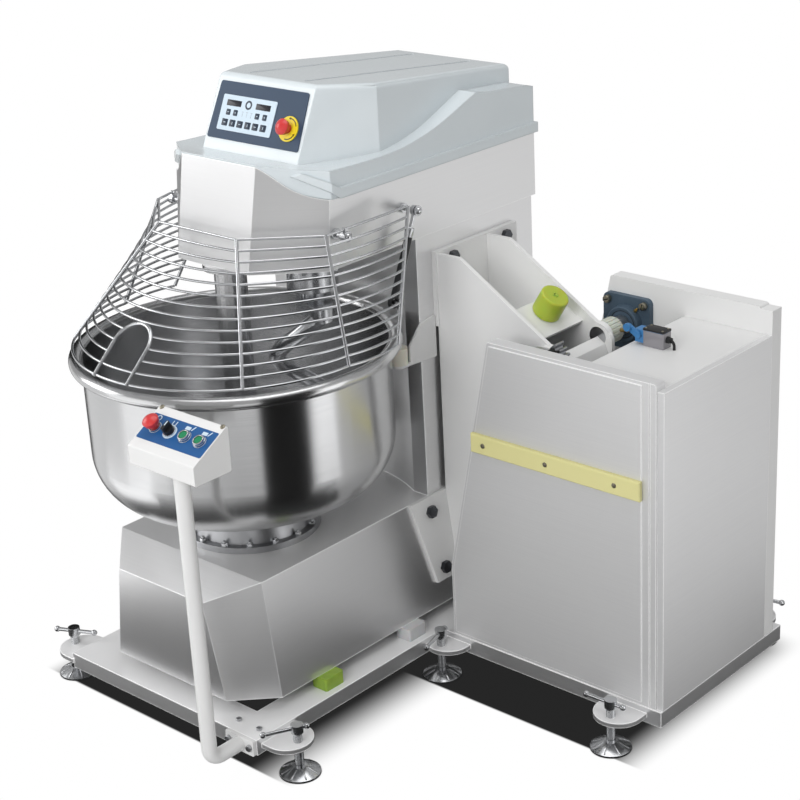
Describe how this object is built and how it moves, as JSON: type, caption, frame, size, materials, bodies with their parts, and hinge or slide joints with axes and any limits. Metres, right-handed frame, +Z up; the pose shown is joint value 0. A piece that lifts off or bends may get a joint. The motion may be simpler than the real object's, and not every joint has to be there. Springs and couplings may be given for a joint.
{
  "type": "tilting spiral dough mixer",
  "caption": "Floor-standing spiral dough mixer that tips its bowl sideways about a shaft in a side pedestal, with a wire guard, head controls and a pole console.",
  "frame": {"origin": "centre of the bounding box in plan, on the floor under the feet", "axes": "+Z up, the operator stands at -Y, the mixer tips towards +X over the pedestal"},
  "size_m": [1.5044, 1.5005, 1.5632],
  "materials": {
    "white_paint": "semi-gloss white enamel",
    "cover_plastic": "pale grey moulded plastic",
    "stainless": "brushed stainless",
    "polished_steel": "polished stainless",
    "cast_iron": "dark blue-grey casting",
    "plain_steel": "machined steel",
    "zinc": "zinc-plated",
    "nylon": "natural nylon",
    "green_rubber": "translucent yellow-green polyurethane",
    "strip_yellow": "pale yellow strip",
    "black_rubber": "black rubber",
    "panel_blue": "dark blue membrane",
    "keypad_white": "white membrane",
    "stop_yellow": "yellow disc",
    "stop_red": "red plastic",
    "button_green": "green plastic",
    "black_plastic": "black plastic",
    "switch_blue": "blue and clear plastic",
    "motor_paint": "blue-grey motor enamel"
  },
  "bodies": {
    "base": {"base_frame": "stainless", "rest_pads": "green_rubber", "control_pole": "white_paint", "console_box": "white_paint", "console_bezels": "polished_steel", "cabinet_front_wall": "stainless", "cabinet_rear_wall": "stainless", "cabinet_side_cover": "stainless", "cabinet_top_plate": "white_paint", "bumper_strip": "strip_yellow", "tilt_bearings": "cast_iron", "bearing_bolts": "zinc", "limit_switch": "switch_blue", "switch_lead": "black_rubber", "tilt_gearmotor": "motor_paint"},
    "mixer": {"column_base": "stainless", "head_shell": "stainless", "head_cover": "cover_plastic", "panel_plate": "panel_blue", "keypad": "keypad_white", "estop_disc": "stop_yellow", "tilt_arm": "white_paint", "arm_bolts": "zinc", "arm_buffer": "green_rubber", "tilt_shaft": "plain_steel", "tilt_collar": "nylon", "tilt_gear": "plain_steel", "breaker_bar": "stainless", "spiral_hub": "polished_steel", "bowl_pedestal": "plain_steel", "guard_pins": "stainless", "rim_bracket": "white_paint", "bowl_motor": "motor_paint", "bowl_belt": "black_rubber", "spiral_motor": "motor_paint", "spiral_belt": "black_rubber"},
    "bowl": {"bowl": "stainless", "bowl_drive": "plain_steel"},
    "spiral": {"spiral_hook": "polished_steel", "spiral_pulley": "plain_steel"},
    "guard": {"guard_ribs": "stainless", "guard_wires": "stainless"},
    "strut_rod": {"strut_rod": "polished_steel"},
    "strut_cylinder": {"strut_cylinder": "black_plastic"},
    "bowl_motor_pulley": {"bowl_motor_pulley": "plain_steel"},
    "spiral_motor_pulley": {"spiral_motor_pulley": "plain_steel"},
    "rim_roller": {"rim_roller": "nylon"},
    "panel_estop": {"panel_estop": "stop_red"},
    "tilt_pinion": {"tilt_pinion": "plain_steel"},
    "switch_lever": {"switch_lever": "switch_blue"},
    "console_estop": {"console_estop": "stop_red"},
    "console_selector": {"console_selector": "black_plastic"},
    "console_button_1": {"console_button_1": "button_green"},
    "console_button_2": {"console_button_2": "button_green"},
    "foot_1": {"foot_1": "polished_steel"},
    "foot_2": {"foot_2": "polished_steel"},
    "foot_3": {"foot_3": "polished_steel"},
    "foot_4": {"foot_4": "polished_steel"},
    "foot_5": {"foot_5": "polished_steel"},
    "foot_6": {"foot_6": "polished_steel"}
  },
  "joints": [
    {"name": "tilt", "type": "hinge", "parent": "base", "child": "mixer", "pos_m": [0.3345, 0.3275, 0.885], "axis": [0, 1, 0], "range_deg": [0, 105]},
    {"name": "tilt_pinion_spin", "type": "hinge", "parent": "base", "child": "tilt_pinion", "pos_m": [0.3345, 0.1875, 0.745], "axis": [0, 1, 0], "range_deg": [-263.5, 1]},
    {"name": "bowl_spin", "type": "hinge", "parent": "mixer", "child": "bowl", "pos_m": [-0.2905, -0.2325, 0.5], "axis": [0, 0, 1], "continuous": true},
    {"name": "bowl_motor_spin", "type": "hinge", "parent": "mixer", "child": "bowl_motor_pulley", "pos_m": [-0.2905, 0.3675, 0.35], "axis": [0, 0, 1], "continuous": true},
    {"name": "spiral_spin", "type": "hinge", "parent": "mixer", "child": "spiral", "pos_m": [-0.1605, -0.0825, 1.1], "axis": [0, 0, 1], "continuous": true},
    {"name": "spiral_motor_spin", "type": "hinge", "parent": "mixer", "child": "spiral_motor_pulley", "pos_m": [-0.2905, 0.4075, 1.2], "axis": [0, 0, 1], "continuous": true},
    {"name": "guard_lift", "type": "hinge", "parent": "mixer", "child": "guard", "pos_m": [-0.2905, -0.1325, 1.236], "axis": [-1, 0, 0], "range_deg": [0, 40]},
    {"name": "strut_swing", "type": "hinge", "parent": "mixer", "child": "strut_rod", "pos_m": [0.0175, 0.107, 1.241], "axis": [-1, 0, 0], "range_deg": [-1, 22.72]},
    {"name": "strut_stroke", "type": "slide", "parent": "strut_rod", "child": "strut_cylinder", "axis": [0, -0.4031, -0.9152], "range_m": [-0.002, 0.1395]},
    {"name": "rim_roller_spin", "type": "hinge", "parent": "mixer", "child": "rim_roller", "pos_m": [-0.04085, 0.08704, 0.855], "axis": [0, 0, 1], "continuous": true},
    {"name": "panel_estop_press", "type": "slide", "parent": "mixer", "child": "panel_estop", "axis": [0, 0.9041, -0.4274], "range_m": [0, 0.006], "stiffness_N_per_m": 1500},
    {"name": "console_estop_press", "type": "slide", "parent": "base", "child": "console_estop", "axis": [0, 0.5063, -0.8623], "range_m": [0, 0.006], "stiffness_N_per_m": 1500},
    {"name": "console_selector_turn", "type": "hinge", "parent": "base", "child": "console_selector", "pos_m": [-0.017, -0.69464, 0.92451], "axis": [0, -0.5063, 0.8623], "range_deg": [-45, 45]},
    {"name": "console_button_1_press", "type": "slide", "parent": "base", "child": "console_button_1", "axis": [0, 0.5063, -0.8623], "range_m": [0, 0.004], "stiffness_N_per_m": 800},
    {"name": "console_button_2_press", "type": "slide", "parent": "base", "child": "console_button_2", "axis": [0, 0.5063, -0.8623], "range_m": [0, 0.004], "stiffness_N_per_m": 800},
    {"name": "switch_lever_turn", "type": "hinge", "parent": "base", "child": "switch_lever", "pos_m": [0.5225, 0.3295, 0.9561], "axis": [0, -1, 0], "range_deg": [0, 25], "stiffness_Nm_per_rad": 0.6},
    {"name": "foot_1_screw", "type": "slide", "parent": "base", "child": "foot_1", "axis": [0, 0, 1], "range_m": [-0.006, 0.03]},
    {"name": "foot_2_screw", "type": "slide", "parent": "base", "child": "foot_2", "axis": [0, 0, 1], "range_m": [-0.006, 0.03]},
    {"name": "foot_3_screw", "type": "slide", "parent": "base", "child": "foot_3", "axis": [0, 0, 1], "range_m": [-0.006, 0.03]},
    {"name": "foot_4_screw", "type": "slide", "parent": "base", "child": "foot_4", "axis": [0, 0, 1], "range_m": [-0.006, 0.03]},
    {"name": "foot_5_screw", "type": "slide", "parent": "base", "child": "foot_5", "axis": [0, 0, 1], "range_m": [-0.006, 0.03]},
    {"name": "foot_6_screw", "type": "slide", "parent": "base", "child": "foot_6", "axis": [0, 0, 1], "range_m": [-0.006, 0.03]}
  ],
  "couplings": [
    {"joint": "tilt_pinion_spin", "follows": "tilt", "ratio": -2.5},
    {"joint": "bowl_motor_spin", "follows": "bowl_spin", "ratio": 3.3333},
    {"joint": "spiral_motor_spin", "follows": "spiral_spin", "ratio": 1.8103},
    {"joint": "strut_swing", "follows": "guard_lift", "ratio": 0.543},
    {"joint": "strut_stroke", "follows": "guard_lift", "m_per_rad": 0.197}
  ]
}
